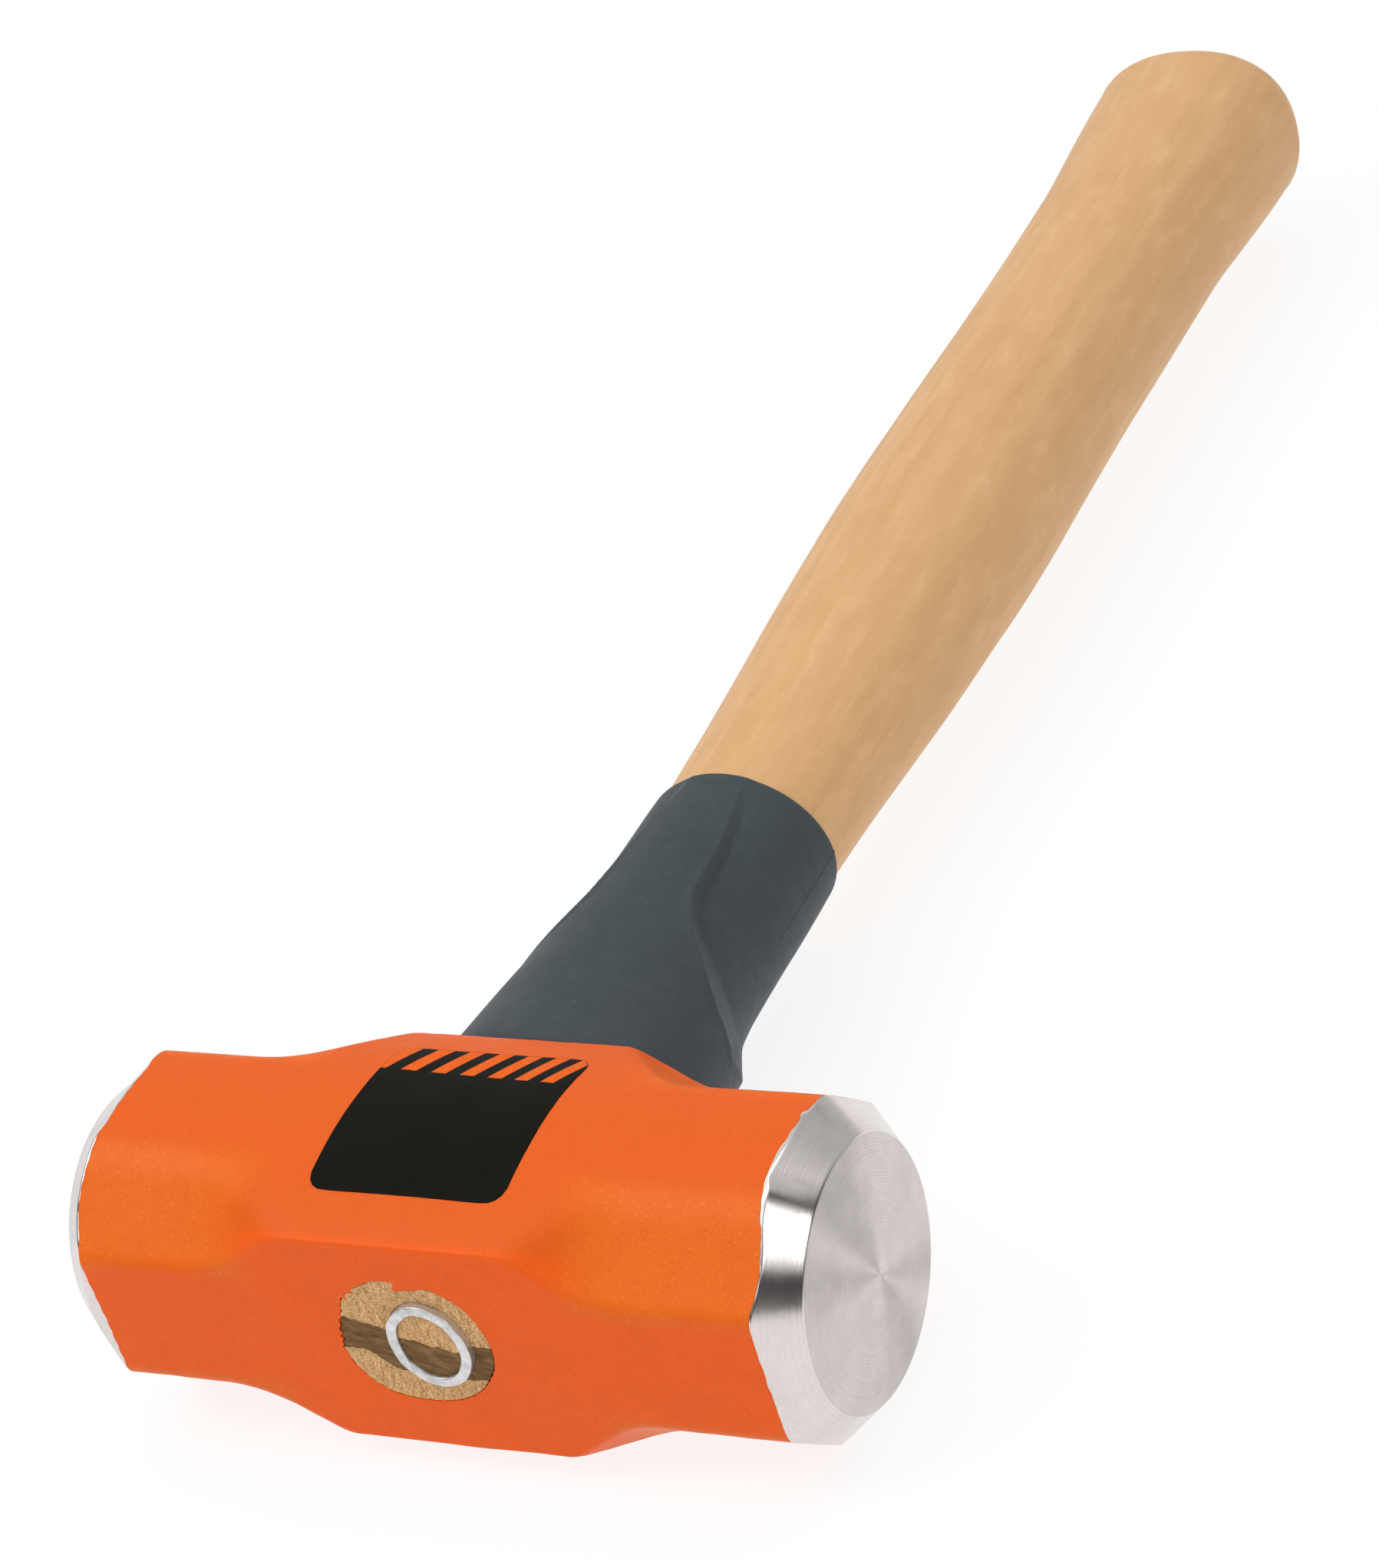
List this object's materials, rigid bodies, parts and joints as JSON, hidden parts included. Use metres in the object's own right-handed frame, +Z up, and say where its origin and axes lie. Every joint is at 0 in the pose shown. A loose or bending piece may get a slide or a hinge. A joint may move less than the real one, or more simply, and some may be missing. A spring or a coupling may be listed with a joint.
{
  "type": "sledge hammer",
  "caption": "Short-handled double-faced sledge hammer: octagonal forged head, rubber over-strike guard and oval hardwood handle, wedged in the eye.",
  "frame": {"origin": "centre of the bottom of the bounding box, with the hammer lying on the cheek that has no label", "axes": "+X along the head to one striking face, +Y from the head along the handle to the butt, +Z up, out of the labelled cheek"},
  "size_m": [0.1156, 0.3224, 0.0441],
  "materials": {
    "head": "orange paint with a fine texture on forged steel; the turned ends are bare steel",
    "handle": "pale hardwood, sanded and clear lacquered",
    "wedge_wood": "dark hardwood end grain",
    "ring_steel": "bright steel",
    "guard": "matt slate-grey moulded rubber",
    "label": "satin black film with a strip of slanted bars"
  },
  "bodies": {
    "root": {"hammer_head": "head", "wooden_handle": "handle", "cross_wedge": "wedge_wood", "ring_wedge": "ring_steel", "rubber_guard": "guard", "cheek_label": "label"}
  },
  "joints": []
}
